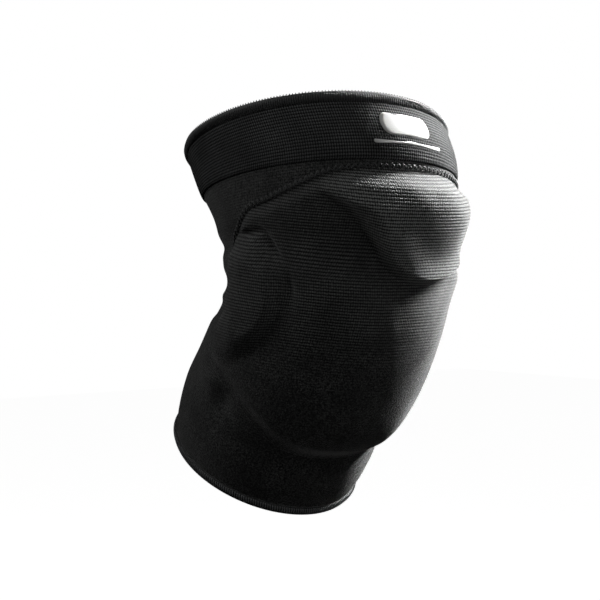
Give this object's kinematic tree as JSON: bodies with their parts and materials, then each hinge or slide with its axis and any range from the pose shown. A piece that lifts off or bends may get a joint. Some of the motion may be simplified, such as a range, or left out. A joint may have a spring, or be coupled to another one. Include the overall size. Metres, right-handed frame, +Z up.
{
  "type": "volleyball knee pad",
  "caption": "Knitted pull-on knee sleeve with an elastic top band, foam pads over the knee, thigh and sides, and a sewn knit cover, shown in its worn, bent form.",
  "frame": {"origin": "centre of the knee inside the sleeve, at its bend, where the wearer's knee holds it", "axes": "+Z up along the upright knee, -Y towards the front of the knee, +X to the right seen from the front; the thigh end tips back and the shin end runs down and back"},
  "size_m": [0.1266, 0.1768, 0.2142],
  "materials": {
    "sleeve_knit": "black polyester and elastane knit, matte with a soft sheen",
    "cover_knit": "black double knit with fine cross ribs, brushed over the knee",
    "band_knit": "black elastic knit with fine cross rows",
    "hem_knit": "black overlocked knit hem",
    "foam": "grey closed-cell foam, matte"
  },
  "bodies": {
    "root": {"top_hem": "hem_knit", "top_band": "band_knit", "sleeve": "sleeve_knit", "front_cover": "cover_knit", "knee_pad": "foam", "thigh_pad": "foam", "side_pad_left": "foam", "side_pad_right": "foam", "bottom_hem": "hem_knit"}
  },
  "joints": []
}
